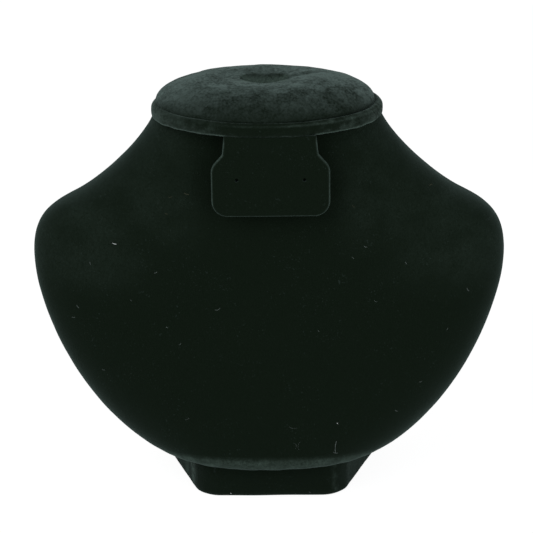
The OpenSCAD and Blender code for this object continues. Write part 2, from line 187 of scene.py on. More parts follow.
def ripple(place, size, seed=0.0):
    """Smooth unevenness between -1 and 1, with bumps of about the given size."""
    return noise.noise(place / size + Vector((seed, 0.7 * seed, -1.3 * seed)))


def ripples(place, *waves):
    """Several ripples added up, each given by its height, its size in mm and its seed."""
    return sum(height * ripple(place, size * MM, seed) for height, size, seed in waves)


def swell(value, low, high):
    """0 below low, 1 above high, and smooth between them."""
    t = max(0.0, min(1.0, (value - low) / (high - low)))
    return t * t * (3 - 2 * t)


def bell(value, width):
    """1 at 0, falling off smoothly to either side over about the given width."""
    return exp(-((value / width) ** 2))


# %% [markdown]
# Shader maths reads best as plain expressions. This small class wraps one output of a node,
# so that a + b or 1 - a adds the Math node itself, and one method adds every other kind of node.

# %% Shader maths
class Wire:
    def __init__(self, graph, socket):
        self.graph = graph
        self.socket = socket

    def math(self, operation, other, turned=False):
        pair = (other, self) if turned else (self, other)
        return self.graph.add("ShaderNodeMath", {"operation": operation}, {0: pair[0], 1: pair[1]})

    def __add__(self, other):
        return self.math("ADD", other)

    __radd__ = __add__

    def __sub__(self, other):
        return self.math("SUBTRACT", other)

    def __rsub__(self, other):
        return self.math("SUBTRACT", other, turned=True)

    def __mul__(self, other):
        return self.math("MULTIPLY", other)

    __rmul__ = __mul__

    def __pow__(self, other):
        return self.math("POWER", other)


class Graph:
    """The nodes of a material or of the world."""

    def __init__(self, owner):
        self.owner = owner
        owner.use_nodes = True
        self.tree = owner.node_tree
        self.tree.nodes.clear()

    def add(self, kind, settings=None, sockets=None, output=0):
        node = self.tree.nodes.new(kind)
        for name, value in (settings or {}).items():
            if name == "stops":
                for stop, (place, level) in zip(node.color_ramp.elements, value):
                    stop.position = place
                    stop.color = (level, level, level, 1)
            else:
                setattr(node, name, value)
        for name, value in (sockets or {}).items():
            if isinstance(value, Wire):
                self.tree.links.new(value.socket, node.inputs[name])
            else:
                node.inputs[name].default_value = value
        return Wire(self, node.outputs[output])

    def coordinates(self):
        return self.add("ShaderNodeTexCoord", output="Object")

    def noise(self, where, size, detail=2.0, roughness=0.5, distortion=0.0):
        """Noise between 0 and 1 with spots of about the given size in metres."""
        return self.add("ShaderNodeTexNoise", {"noise_dimensions": "3D"}, {
            "Vector": where, "Scale": 1 / size, "Detail": detail, "Roughness": roughness,
            "Distortion": distortion,
        })

    def ramp(self, value, low, high):
        """0 below low and 1 above high."""
        return self.add("ShaderNodeValToRGB", {"stops": [(low, 0.0), (high, 1.0)]}, {"Fac": value})

    def blend(self, share, first, second):
        """Mixes two colours. A Mix node's colours are its sockets 6 and 7 and its output 2."""
        colours = {"Factor": share, 6: first, 7: second}
        return self.add("ShaderNodeMix", {"data_type": "RGBA"}, colours, output=2)

    def surface(self, shader):
        """Joins a shader to the output, and gives back the material or the world."""
        kind = "World" if isinstance(self.owner, bpy.types.World) else "Material"
        out = self.tree.nodes.new("ShaderNodeOutput" + kind)
        self.tree.links.new(shader.socket, out.inputs["Surface"])
        return self.owner


# %% [markdown]
# The velvet is nearly black with a green cast when it is seen from the front, and pale at every edge,
# where the pile is seen from the side. That pale sheen is painted: the shader's sheen alone would give an
# even edge, so it is kept low and the colour itself turns paler as the surface turns away, by Layer
# Weight's Facing. The nap is never even: fingers have brushed it in patches, the pile has a grain, and
# dust lies in it.

# %% Velvet
GRAIN = 0.4 * MM
TUFT = 1.1 * MM
PATCH = 6 * MM
STROKE = 22 * MM
STROKE_SCALE = (1.0, 1.0, 0.35)
GROUND_DEEP = (0.0024, 0.0048, 0.0025, 1)
GROUND_PALE = (0.0040, 0.0074, 0.0043, 1)
# The colour of painted highlights along folds and edges.
HIGHLIGHT_COLOUR = (0.050, 0.074, 0.062, 1)
DUST = (0.045, 0.066, 0.062, 1)
DUST_SHARE = 0.16
SHEEN_TINT = (0.74, 1.0, 0.92, 1)


def velvet(name, brushed, sheen_colour, lean, base_sheen=0.0, contrast=0.17, lit_from_above=0.0):
    """Velvet whose nap is brushed the more, the higher brushed is, with its sheen painted into its
    colour.

    It takes the painted sheen colour at the edges, lean says how fast that colour fades towards the
    middle, the next argument how much of it stays there, and the last how much of it is left out where
    the surface doesn't face up, as painted shade under light from above.
    """
    g = Graph(bpy.data.materials.new(name))
    where = g.coordinates()
    grain = g.noise(where, GRAIN, detail=3.0, roughness=0.7)
    tufts = g.noise(where, TUFT, detail=3.0, roughness=0.65)
    patches = g.noise(where, PATCH, detail=4.0, roughness=0.62, distortion=0.4)
    along = g.add("ShaderNodeMapping", {"vector_type": "POINT"}, {"Vector": where, "Scale": STROKE_SCALE})
    strokes = g.noise(along, STROKE, detail=3.0, roughness=0.55, distortion=0.8)
    facing = g.add("ShaderNodeLayerWeight", None, {"Blend": 0.5}, output="Facing")
    nap = g.ramp(0.36 * patches + 0.24 * strokes + 0.4 * tufts, 0.5 - contrast, 0.5 + contrast)
    # Painted sheen: the pale edge colour is mixed into the base colour as the surface turns away from the
    # view.
    sheen_share = (facing ** lean + base_sheen) * (1 - 0.8 * brushed + 1.6 * brushed * nap)
    # Painted shade: where the surface doesn't face up, part of the painted sheen is left out, so that
    # tops look lit from above.
    if lit_from_above:
        normal = g.add("ShaderNodeNewGeometry", output="Normal")
        height = g.add("ShaderNodeSeparateXYZ", None, {"Vector": normal}, output="Z")
        sheen_share = sheen_share * (1 - lit_from_above * (1 - g.ramp(height, 0.1, 0.8)))
    ground = g.blend(g.ramp(grain, 0.3, 0.7), GROUND_DEEP, GROUND_PALE)
    colour = g.blend(sheen_share, ground, (*sheen_colour, 1))
    crushed = g.ramp(0.5 * tufts + 0.5 * grain, 0.36, 0.64)
    # Painted highlights and sheen along folds and edges, as strong as the piece's attribute asks, broken
    # up by the pile's tufts.
    highlight_share = g.add("ShaderNodeAttribute", {"attribute_name": "painted_highlight"}, output="Fac")
    colour = g.blend(highlight_share * (0.25 + 1.5 * crushed), colour, HIGHLIGHT_COLOUR)
    specks = g.ramp(g.noise(where, 0.8 * MM, detail=1.0), 0.66, 0.72)
    dusty = g.ramp(g.noise(where, 9 * MM), 0.45, 0.7)
    colour = g.blend(DUST_SHARE * (specks * dusty), colour, DUST)
    bump = g.add("ShaderNodeBump", None, {
        "Strength": 0.6, "Distance": 0.35 * MM, "Height": 0.5 * grain + 0.9 * tufts + 1.2 * patches,
    }, output="Normal")
    shader = g.add("ShaderNodeBsdfPrincipled", None, {
        "Base Color": colour, "Roughness": 0.95, "Specular IOR Level": 0.03, "Normal": bump,
        "Sheen Weight": 0.06, "Sheen Roughness": 0.35, "Sheen Tint": SHEEN_TINT,
    })
    return g.surface(shader)


velvet_bust = velvet("velvet_bust", 0.35, (0.031, 0.047, 0.041), 2.2)
velvet_foot = velvet("velvet_foot", 0.5, (0.018, 0.027, 0.023), 2.2, base_sheen=0.05)
velvet_rim = velvet("velvet_rim", 1.0, (0.042, 0.060, 0.052), 1.7, contrast=0.09)
velvet_cap = velvet(
    "velvet_cap", 1.0, (0.072, 0.100, 0.092), 1.7, base_sheen=0.10, contrast=0.10, lit_from_above=0.75
)
print("velvets:", velvet_bust.name, velvet_foot.name, velvet_rim.name, velvet_cap.name)

# %% [markdown]
# The inside of the stand is hidden in use, but each part of it keeps a fitting finish. They differ
# only in their two colours, the size of their spots and their gloss, so one function makes them all.

# %% Hidden finishes
def plain(name, light, dark, size, roughness, metallic=0.0, bump=0.2):
    """A finish that wanders between two colours in spots of the given size."""
    g = Graph(bpy.data.materials.new(name))
    spots = g.noise(g.coordinates(), size, detail=4.0, roughness=0.6)
    colour = g.blend(g.ramp(spots, 0.35, 0.65), (*dark, 1), (*light, 1))
    relief = {"Strength": bump, "Distance": 0.1 * MM, "Height": spots}
    normal = g.add("ShaderNodeBump", None, relief, output="Normal")
    shader = g.add("ShaderNodeBsdfPrincipled", None, {
        "Base Color": colour, "Roughness": roughness, "Metallic": metallic, "Normal": normal,
    })
    return g.surface(shader)


fibreboard = plain("fibreboard", (0.30, 0.19, 0.10), (0.20, 0.12, 0.06), 1.2 * MM, 0.85)
black_card = plain("black_card", (0.020, 0.021, 0.020), (0.010, 0.011, 0.010), 0.5 * MM, 0.7)
moulded = plain("moulded_plastic", (0.025, 0.028, 0.030), (0.018, 0.020, 0.022), 3 * MM, 0.45)
foam = plain("foam", (0.60, 0.57, 0.47), (0.48, 0.45, 0.36), 0.6 * MM, 0.95, bump=0.6)
zinc = plain("zinc", (0.55, 0.56, 0.57), (0.42, 0.43, 0.45), 0.4 * MM, 0.35, metallic=1.0, bump=0.05)
print("hidden finishes:", [made.name for made in (fibreboard, black_card, moulded, foam, zinc)])

# %% [markdown]
# The bust is one moulded form. Seen from the front its outline is three joined curves: up the side,
# round the widest point, and in to the neck. Each level is a closed section, full in front and flat
# behind, and oval at the neck. A circle of points is bent into each section and the sections are
# bridged, which keeps the mesh in tidy rings that a subdivision surface can round.

# %% Sizes of the bust
bust_low, bust_high = node_box("bust_velvet")
FOOT_TOP = bust_low.z
NECK_TOP = bust_high.z
BUST_H = NECK_TOP - FOOT_TOP
BUST_SET = 2 * MM
WIDE = Vector((96, 86)) * MM
SHOULDER = Vector((79.75, 110)) * MM
SHOULDER_SLOPE = radians(26)
NECK = Vector((46, 142)) * MM
NECK_D = 45 * MM
NECK_SLOPE = radians(65)
LIP = Vector((32, 0)) * MM
LIP_SLOPE = radians(6)
LIP_ROLL_H = 8 * MM
LIP_ROLL_D = 5 * MM
CHEST_OUT = 18 * MM
CHEST_POWER = 2.45
EDGE_OUT = 17 * MM
BACK_LEAN = radians(5.5)
BACK_SET = 3 * MM
BACK_EDGE = 5 * MM
RIM_W = 7 * MM
print("bust height in mm:", round(BUST_H / MM, 1))


# %% Outline and sections of the bust
def bezier(points, t):
    a, b, c, d = points
    return a * (1 - t) ** 3 + 3 * b * t * (1 - t) ** 2 + 3 * c * t * t * (1 - t) + d * t ** 3


def arm(length, angle):
    """A curve's control arm: its length in mm and its direction."""
    return Vector((cos(angle), sin(angle))) * length * MM


side_curve = (LIP, LIP + arm(35.5, LIP_SLOPE), WIDE - arm(28, pi / 2), WIDE)
round_curve = (WIDE, WIDE + arm(12.3, pi / 2), SHOULDER + arm(13.5, -SHOULDER_SLOPE), SHOULDER)
sweep_curve = (SHOULDER, SHOULDER - arm(15.3, -SHOULDER_SLOPE), NECK + arm(11.5, -NECK_SLOPE), NECK)


def outline_levels(side, around, sweep):
    """Half width and height over the foot, upwards, in the given numbers of steps."""
    return (
        [bezier(side_curve, k / side) for k in range(side)]
        + [bezier(round_curve, k / around) for k in range(around)]
        + [bezier(sweep_curve, k / sweep) for k in range(sweep + 1)]
    )


def neck_share(h):
    """0 up to the shoulders and 1 at the neck, where the sections are ovals."""
    return swell(h, SHOULDER.y, NECK.y)


def chest_y(h):
    """How far forward the chest stands at a height h: fullest low down, and rolled under at the lip."""
    roll = LIP_ROLL_D * (1 - sqrt(1 - (1 - h / LIP_ROLL_H) ** 2)) if h < LIP_ROLL_H else 0
    return -NECK_D / 2 - CHEST_OUT * (1 - swell(h, 0.1 * BUST_H, 0.95 * BUST_H)) + roll


def edge_y(h):
    """Where a section is widest."""
    return -EDGE_OUT * (1 - swell(h, 0, BUST_H))


def back_y(h):
    """The flat back leans a little, and turns into the round of the neck."""
    plane = BACK_SET - (SHOULDER.y - h) * tan(BACK_LEAN)
    return plane + (NECK_D / 2 - plane) * neck_share(h)


def signed_power(value, power):
    return abs(value) ** power * (1 if value >= 0 else -1)


FRONT_STEPS = 56
CORNER_STEPS = 6
PANEL_STEPS = 12
BACK_STEPS = 2 * CORNER_STEPS + 2 + PANEL_STEPS


def section_point(k, w, h):
    """The k-th point of the section at a height h, from the left edge over the front and back round."""
    share = neck_share(h)
    if k <= FRONT_STEPS:
        power = 2 / (CHEST_POWER + (2 - CHEST_POWER) * share)
        a = pi * k / FRONT_STEPS
        y = edge_y(h) + (chest_y(h) - edge_y(h)) * sin(a) ** power if 0 < k < FRONT_STEPS else edge_y(h)
        return Vector((-w * signed_power(cos(a), power), y - BUST_SET, h + FOOT_TOP))
    k -= FRONT_STEPS
    mirrored = min(k, BACK_STEPS - k)
    if mirrored <= CORNER_STEPS:
        a = pi / 2 * mirrored / CORNER_STEPS
        flat = Vector((w - BACK_EDGE * (1 - cos(a)), edge_y(h) + (back_y(h) - edge_y(h)) * sin(a)))
    else:
        flat = Vector(((w - RIM_W) * (1 - 2 * (mirrored - CORNER_STEPS - 1) / PANEL_STEPS), back_y(h)))
    if mirrored != k:
        flat.x = -flat.x
    a = pi * k / BACK_STEPS
    round_back = Vector((w * cos(a), edge_y(h) + (back_y(h) - edge_y(h)) * sin(a)))
    x, y = flat.lerp(round_back, share)
    return Vector((x, y - BUST_SET, h + FOOT_TOP))


levels = outline_levels(side=24, around=12, sweep=16)
print("sections:", len(levels), "points in each:", FRONT_STEPS + BACK_STEPS)

# %% Bust form
form = bmesh.new()
window_tag = form.verts.layers.int.new("window")
sections = []
for level in levels:
    section = bmesh.ops.create_circle(form, segments=FRONT_STEPS + BACK_STEPS, radius=level.x)["verts"]
    for k, point in enumerate(section):
        point.co = section_point(k, level.x, level.y)
    sections.append(section)
for below, above in zip(sections, sections[1:]):
    edges = {
        e for v in below + above for e in v.link_edges
        if all(o in below for o in e.verts) or all(o in above for o in e.verts)
    }
    bmesh.ops.bridge_loops(form, edges=list(edges))
bmesh.ops.recalc_face_normals(form, faces=form.faces)
print("form has", len(form.faces), "faces")

# %% [markdown]
# The back of the form is open, and a panel in its own velvet is pressed into the opening. A Boolean
# would cut across the rings, so whole faces are taken out instead and kept as the panel's velvet.
# Both get a thickness inwards and soft edges, so that a fine seam shows between them.

# %% Opening in the back
PANEL_TOP = node_box("back_velvet")[1].z
VELVET_T = 1.6 * MM


def in_window(face, tag):
    """True where a face of the form belongs to the panel."""
    middle = face.calc_center_median()
    if middle.z > PANEL_TOP or face.normal.y < 0.9:
        return False
    return all(v[tag] for v in face.verts)


first = FRONT_STEPS + CORNER_STEPS + 1
for section in sections:
    for point in section[first:first + PANEL_STEPS + 1]:
        point[window_tag] = 1
panel = form.copy()
panel_tag = panel.verts.layers.int["window"]
outside = [f for f in panel.faces if not in_window(f, panel_tag)]
bmesh.ops.delete(panel, geom=outside, context="FACES")
form_tag = form.verts.layers.int["window"]
inside = [f for f in form.faces if in_window(f, form_tag)]
print("panel has", len(inside), "faces")
bmesh.ops.delete(form, geom=inside, context="FACES")


def thickened(shape, thickness, edge_radius):
    """Gives a skin a thickness inwards and rounds its open edges."""
    corner = shape.edges.layers.int.new("corner")
    for edge in shape.edges:
        edge[corner] = int(edge.is_boundary)
    bmesh.ops.solidify(shape, geom=shape.faces, thickness=thickness)
    rims = [e for e in shape.edges if e[corner] and len(e.link_faces) == 2]
    bevelled(shape, rims, edge_radius, 2)
    return shape


# %% Bust velvet
bust = rounded_by_subdivision(thickened(form, VELVET_T, 0.5 * MM), 1)
for point in bust.verts:
    place = point.co
    height = place.z - FOOT_TOP
    uneven = ripples(place, (0.22, 34, 1), (0.07, 9, 2), (0.03, 3, 3))
    drawn_out = Vector((place.x, place.y, 0.15 * place.z))
    puckers = 0.25 * ripple(drawn_out, 5 * MM, 4) * (1 - swell(height, 2 * MM, 12 * MM))
    point.co = place + point.normal * (uneven + puckers) * MM


def bust_highlights(point):
    """A painted highlight along the rolled lip in front, where it turns under, and pale patches painted
    on the shoulders and neck, where light from above falls.
    """
    place = point.co
    height = place.z - FOOT_TOP
    band = (1 - swell(height, 5.4 * MM, 7.8 * MM)) * swell(height, 0.1 * MM, 0.9 * MM)
    lip = 0.33 * band * swell(-place.y, 18 * MM, 26 * MM) * (1 + 0.9 * ripple(place, 4 * MM, 19))
    lip *= 0.96 - place.x / (240 * MM)
    shoulder = 0.072 * bell(abs(place.x) - 76 * MM, 22 * MM) * swell(place.z, 84 * MM, 108 * MM)
    neck = 0.045 * swell(abs(place.x), 20 * MM, 38 * MM) * swell(place.z, 100 * MM, 125 * MM)
    cloudy = 0.9 + ripples(place, (0.6, 16, 25), (0.5, 6, 26))
    return lip + max(0, cloudy) * max(shoulder, neck) * swell(-place.y, -26 * MM, 8 * MM)


bust_piece = dress("bust_cover", bust, "bust_velvet", velvet_bust, painted_highlight=bust_highlights)

# %% Back panel velvet
back = rounded_by_subdivision(thickened(panel, VELVET_T, 0.6 * MM), 2)
for point in back.verts:
    point.co += point.normal * ripples(point.co, (0.15, 26, 5), (0.06, 7, 6)) * MM
back_piece = dress("back_cover", back, "back_velvet", velvet_bust)

# %% [markdown]
# The cap and the pad are ovals all the way up, so both are lofted through rings. A circle is made
# once, each of its points remembers its bearing, and every further ring is extruded from the last
# one and put in its own place. A ring's power squares its ends, which the slot needs.

# %% Rings
RING_POINTS = 96


def ring(half_x, half_y, z, power=2.0, back=0.0, front=None):
    """One level of a loft: an oval (power 2) or a slot with squarer ends (more), set back a little.

    front is the power of its front half, where that differs.
    """
    half = Vector((half_x, half_y))
    return {"half": half, "z": z, "power": power, "back": back, "front": front or power}


def loft(middle, rings):
    """A closed shape through the rings, with a fan of triangles at both ends."""
    shape = bmesh.new()
    bearing = shape.verts.layers.float.new("bearing")
    points = bmesh.ops.create_circle(shape, segments=RING_POINTS, radius=1)["verts"]
    for point in points:
        point[bearing] = atan2(point.co.y, point.co.x)
    first = edges = shape.edges[:]
    for step, level in enumerate(rings):
        if step:
            points, edges = grow(shape, edges)
        for point in points:
            power = level["power"] if point[bearing] > 0 else level["front"]
            across = level["half"].x * signed_power(cos(point[bearing]), 2 / power)
            along = level["half"].y * signed_power(sin(point[bearing]), 2 / power)
            point.co = Vector((middle.x + across, middle.y + along + level["back"], level["z"]))
    ends = [bmesh.ops.contextual_create(shape, geom=loop)["faces"][0] for loop in (first, edges)]
    bmesh.ops.poke(shape, faces=ends)
    return in_order(shape)


# %% [markdown]
# The cap is an oval board wrapped in velvet. A bevelled cylinder would come out too true: the wrap
# was done by hand, stands up along the rim and gathers where it is turned under. The rings give
# enough points for that.

# %% Cap
cap_low, cap_high = node_box("cap_velvet")
cap_middle = (cap_low + cap_high) / 2
cap_half = (cap_high - cap_low) / 2
CAP_EDGE_R = 1.5 * MM
CAP_SHARES = [0.1, 0.26, 0.42, 0.56, 0.68, 0.78, 0.86, 0.93, 0.98]
inner = cap_half.xy - Vector((CAP_EDGE_R, CAP_EDGE_R))
levels = [ring(share * inner.x, share * inner.y, cap_low.z) for share in CAP_SHARES]
for a in [k * pi / 8 for k in range(5)]:
    out = CAP_EDGE_R * sin(a)
    levels.append(ring(inner.x + out, inner.y + out, cap_low.z + CAP_EDGE_R * (1 - cos(a))))
levels += [{**level, "z": cap_low.z + cap_high.z - level["z"]} for level in reversed(levels)]
cap = rounded_by_subdivision(loft(cap_middle, levels), 1)
for point in cap.verts:
    place = point.co
    out = Vector(((place.x - cap_middle.x) / cap_half.x, (place.y - cap_middle.y) / cap_half.y)).length
    bearing = Vector((place.x, place.y, 0))
    sag = 0.3 * ripple(bearing, 16 * MM, 7) * swell(out, 0.8, 1.0)
    gathers = 0.3 * ripple(bearing, 3.2 * MM, 8) * swell(cap_middle.z - place.z, 0, 2 * MM)
    gathers *= swell(out, 0.6, 0.9)
    nap = 0.05 * ripple(place, 4 * MM, 9)
    puff = 0.8 * swell(place.z - cap_middle.z, 0, 2 * MM) * bell(out - 0.955, 0.025)
    point.co = place + Vector((0, 0, 1)) * (sag + puff) * MM + point.normal * (gathers + nap) * MM


def rim_highlights(point):
    """Painted highlights along the rim's lower fold, up to the card, and its upper fold, and painted
    sheen at its ends.
    """
    place = point.co - cap_middle
    out = Vector((place.x / cap_half.x, place.y / cap_half.y)).length
    over_card = (1 - swell(abs(place.x - 2 * MM), 16.5 * MM, 18.5 * MM)) * swell(-place.y, 0, 10 * MM)
    low = 0.85 * bell(point.co.z - cap_low.z - 0.4 * MM, 0.45 * MM) * swell(out, 0.96, 0.985)
    low *= 1 - over_card
    high = bell(point.co.z - cap_high.z + 0.25 * MM, 0.4 * MM) * swell(out, 0.972, 0.985)
    patchy = 0.5 + 0.5 * ripple(Vector((place.x, place.y, 0)), 9 * MM, 23)
    end_sheen = max(0, ripples(place, (1, 2.2, 27), (0.5, 6, 28))) * swell(abs(place.x), 12 * MM, 30 * MM)
    end_sheen *= 1.4 * swell(out, 0.9, 0.95) * swell(place.z, -2.5 * MM, -0.5 * MM)
    high *= 0.4 * patchy * swell(place.x, -24 * MM, 8 * MM)
    return low * (0.9 + 0.6 * patchy) + high + 0.22 * end_sheen


cap_piece = dress("cap_cover", cap, "cap_velvet", velvet_rim, painted_highlight=rim_highlights)

# %% [markdown]
# The pad on the cap is a soft dome of foam in velvet, cut by a slot. It could be sculpted, but rings
# keep it in step with its solid: they run up the rounded side, over the crown, round the slot's lips
# and down into the slot, whose mouth lies open as worn foam does.

# %% Pad
pad_low, pad_high = node_box("pad_velvet")
pad_middle = (pad_low + pad_high) / 2 - Vector((0.7, 0, 0)) * MM
pad_half = (pad_high - pad_low) / 2 - Vector((0.9, 0.9, 0)) * MM
PAD_H = pad_high.z - pad_low.z
PAD_ROUND = 19.5 * MM
PAD_FOOT = 0.6 * MM
LIP_HALF = Vector((9.9, 5.9)) * MM
LIP_POWER = 2.7
LIP_FRONT_POWER = 1.75
SLOT_HALF = Vector((8.6, 2.0)) * MM
SLOT_POWER = 3.6
SLOT_DEPTH = 8.8 * MM
LIP_BACK = 1 * MM
UNDERSIDE = 0.05 * MM
SIDE_STEPS = 11
# Drops below the crown in mm, and how far the lip's shape has turned into the slot's there.
SLOT_DROPS = ((0.15, 0.0), (0.55, 0.06), (1.2, 0.16), (2.0, 0.34), (2.9, 0.55), (3.9, 0.78), (4.7, 0.94))


def between(first, second, share):
    return first + (second - first) * share


def pad_ring(half_x, half_y, height, power=2.0, back=0.0, front=None):
    return ring(half_x, half_y, pad_low.z + height, power, back, front)


def side_ring(drawn_in, height):
    return pad_ring(pad_half.x - drawn_in, pad_half.y - drawn_in, height)


levels = [
    pad_ring(share * pad_half.x, share * pad_half.y, UNDERSIDE) for share in (0.3, 0.6, 0.8, 0.92)
]
levels += [side_ring(0.5 * MM, UNDERSIDE), side_ring(0.1 * MM, 0.3 * MM)]
for k in range(SIDE_STEPS + 1):
    a = pi / 2 * k / SIDE_STEPS
    levels.append(side_ring(PAD_ROUND * (1 - cos(a)), PAD_FOOT + (PAD_H - PAD_FOOT) * sin(a)))
crown = Vector((pad_half.x - PAD_ROUND, pad_half.y - PAD_ROUND))
for share in (0.75, 0.5, 0.25, 0.08):
    half = LIP_HALF.lerp(crown, share)
    levels.append(pad_ring(
        half.x, half.y, PAD_H, power=between(LIP_POWER, 2, share), back=LIP_BACK * (1 - share),
        front=between(LIP_FRONT_POWER, 2, share),
    ))
for drop, share in SLOT_DROPS:
    half = LIP_HALF.lerp(SLOT_HALF, share)
    levels.append(pad_ring(
        half.x, half.y, PAD_H - drop * MM, power=between(LIP_POWER, SLOT_POWER, share),
        back=LIP_BACK * (1 - share), front=between(LIP_FRONT_POWER, SLOT_POWER, share),
    ))
for drop in (5.6 * MM, 7.2 * MM, SLOT_DEPTH):
    levels.append(pad_ring(SLOT_HALF.x, SLOT_HALF.y, PAD_H - drop, SLOT_POWER))
pad = loft(pad_middle, levels)
print("pad height in mm:", round(PAD_H / MM, 2), "rings:", len(levels))

# %% [markdown]
# Velvet over foam lies as cloth does, so the pad's skin goes through a short cloth simulation. A light
# pressure from inside stands for the foam, the cloth is cut a little too large so that it gathers
# softly round the slot, and it is held where it is glued: at the pad's foot and down in the slot.
# No point may move further than the given reach, and a last subdivision rounds the result.

# %% Pad as cloth
CLOTH_FRAMES = 20


def puffed(shape, glued, pressure, spare, reach):
    """Blows a closed shape up a little as cloth. glued says which of its points stay put."""
    start = [point.co.copy() for point in shape.verts]
    skin = finish_mesh("skin", shape)
    held = skin.vertex_groups.new(name="glued")
    held.add([k for k, place in enumerate(start) if glued(place)], 1.0, "REPLACE")
    cloth = skin.modifiers.new("cloth", "CLOTH").settings
    cloth.quality = 8
    cloth.mass = 0.2
    cloth.tension_stiffness = cloth.compression_stiffness = 20
    cloth.shear_stiffness = 8
    cloth.bending_stiffness = 0.8
    cloth.use_pressure = True
    cloth.uniform_pressure_force = pressure
    cloth.shrink_min = -spare
    cloth.vertex_group_mass = "glued"
    cloth.effector_weights.gravity = 0
    for step in range(1, CLOTH_FRAMES + 1):
        scene.frame_set(step)
    settled = taken_back(skin)
    scene.frame_set(1)
    moves = []
    for point, place in zip(settled.verts, start):
        move = point.co - place
        moves.append(move.length)
        if move.length > reach:
            point.co = place + move * (reach / move.length)
    average = sum(moves) / len(moves)
    print("cloth moved in mm: up to", round(max(moves) / MM, 2), "on average", round(average / MM, 2))
    return settled


def pad_is_glued(place):
    height = place.z - pad_low.z
    flat = place.xy - pad_middle.xy
    in_slot = abs(flat.x) < SLOT_HALF.x + 1 * MM and abs(flat.y) < SLOT_HALF.y + 1 * MM
    return height < 0.7 * MM or (in_slot and height < PAD_H - 4.5 * MM)


pad = puffed(pad, pad_is_glued, pressure=200, spare=0.005, reach=0.8 * MM)
pad = rounded_by_subdivision(pad, 1)

# %% [markdown]
# Hand-made padding is never even. Broad soft swells come first, then the hollow in front of the slot
# and a slanting crease that runs from its right end, where the cloth was pulled, and last a fine nap.

# %% Pad unevenness
CREASE_START = Vector((6.5, -1.5)) * MM
CREASE_END = Vector((27.0, 8.0)) * MM
CORE_UNDER = 0.8 * MM
crease_way = (CREASE_END - CREASE_START).normalized()
crease_length = (CREASE_END - CREASE_START).length
for point in pad.verts:
    place = point.co
    flat = place.xy - pad_middle.xy
    top = swell(place.z - pad_low.z, 3 * MM, 7 * MM)
    lip = top * bell(flat.y + 8.5 * MM, 4.5 * MM) * bell(flat.x, 11 * MM)
    along = (flat - CREASE_START).dot(crease_way)
    beside = (flat - CREASE_START).cross(crease_way)
    starts = swell(along, 0, 4 * MM)
    ends = 1 - swell(along, 0.5 * crease_length, crease_length)
    crease = top * bell(beside, 1.3 * MM) * starts * ends
    fold = top * bell(beside + 2.6 * MM, 1.8 * MM) * starts * ends
    dent = top * bell(flat.x + 15 * MM, 5 * MM) * bell(flat.y - 1 * MM, 6 * MM)
    down = 0.9 * lip + 0.45 * crease - 0.25 * fold + 0.6 * dent
    uneven = ripples(place, (0.3, 13, 10), (0.1, 5, 11), (0.04, 2, 16))
    nap = point.normal * 0.06 * ripple(place, 5 * MM, 17) * MM
    point.co = place + point.normal * uneven * top * MM + nap
    point.co.z -= down * MM
core = pad.copy()
core.normal_update()
for point in core.verts:
    height = point.co.z - pad_low.z
    point.co -= point.normal * CORE_UNDER * swell(height, 0, CORE_UNDER)


def slot_highlight(point):
    """A painted highlight at the top of the slot's walls, where the lips turn down into it."""
    flat = point.co.xy - pad_middle.xy
    inside = (1 - swell(abs(flat.x), 8 * MM, 11 * MM)) * (1 - swell(abs(flat.y), 4 * MM, 6.5 * MM))
    return 0.55 * inside * swell(point.co.z - pad_low.z, PAD_H - 6.5 * MM, PAD_H - 2 * MM)


pad_piece = dress("pad_cover", pad, "pad_velvet", velvet_cap, painted_highlight=slot_highlight)
core_piece = dress("pad_core", core, "pad_foam", foam)

# %% [markdown]
# The hanging card is thin board wrapped in velvet on both sides. A bevelled slab would round its two
# post holes as much as its outline. So the outline is drawn with the holes and filled, a second sheet
# is laid behind it, and edges are extruded that roll round the outline and run straight in the holes.

# %% Card outline
card_low, card_high = node_box("flap_velvet")
CARD_MIDDLE = (card_low.x + card_high.x) / 2
CARD_TOP = card_high.z
CARD_W = card_high.x - card_low.x
CARD_H = 32 * MM
CARD_NECK_W = 36 * MM
CARD_NECK_FLARE = 0.8 * MM
CARD_NECK_H = 7 * MM
CARD_SLOPE_H = 5.5 * MM
CARD_CORNER = 3.6 * MM
CARD_T = 2.4 * MM
CARD_TILT = radians(3)
CARD_FRONT = cap_low.y + 1.2 * MM
HOLE_R = 0.75 * MM
HOLE_GAP = 26.5 * MM
HOLE_DROP = 17 * MM
HOLE_POINTS = 20
EDGE_ROLL = 0.85 * MM
MESH_STEP = 2.5 * MM

card = bmesh.new()
# Half the outline, downside up: each corner's place, and how far it is rounded in mm.
half = [
    (CARD_W / 2 - CARD_CORNER, -CARD_H, 2.4), (CARD_W / 2, -CARD_H + CARD_CORNER, 2.4),
    (CARD_W / 2, -CARD_NECK_H - CARD_SLOPE_H + 0.6 * MM, 2.0),
    (CARD_NECK_W / 2 + CARD_NECK_FLARE, -CARD_NECK_H + 0.1 * MM, 0.5), (CARD_NECK_W / 2, 0, 0),
]
outline = half + [(-x, z, rounding) for x, z, rounding in reversed(half)]
corners = [card.verts.new((x, 0, z)) for x, z, rounding in outline]
card.faces.new(corners)
for corner, (x, z, rounding) in zip(corners, outline):
    if rounding:
        bevelled(card, [corner], rounding * MM, 5, affect="VERTICES", clamp=False)
band = bmesh.ops.inset_region(
    card, faces=card.faces[:], thickness=EDGE_ROLL, use_boundary=True, use_even_offset=True
)["faces"]
bmesh.ops.delete(card, geom=band, context="FACES")
bmesh.ops.delete(card, geom=card.faces[:], context="FACES_ONLY")
for side in (-1, 1):
    hole = bmesh.ops.create_circle(card, segments=HOLE_POINTS, radius=HOLE_R)["verts"]
    bmesh.ops.rotate(card, verts=hole, cent=(0, 0, 0), matrix=Matrix.Rotation(pi / 2, 3, "X"))
    bmesh.ops.translate(card, verts=hole, vec=(side * HOLE_GAP / 2, 0, -HOLE_DROP))
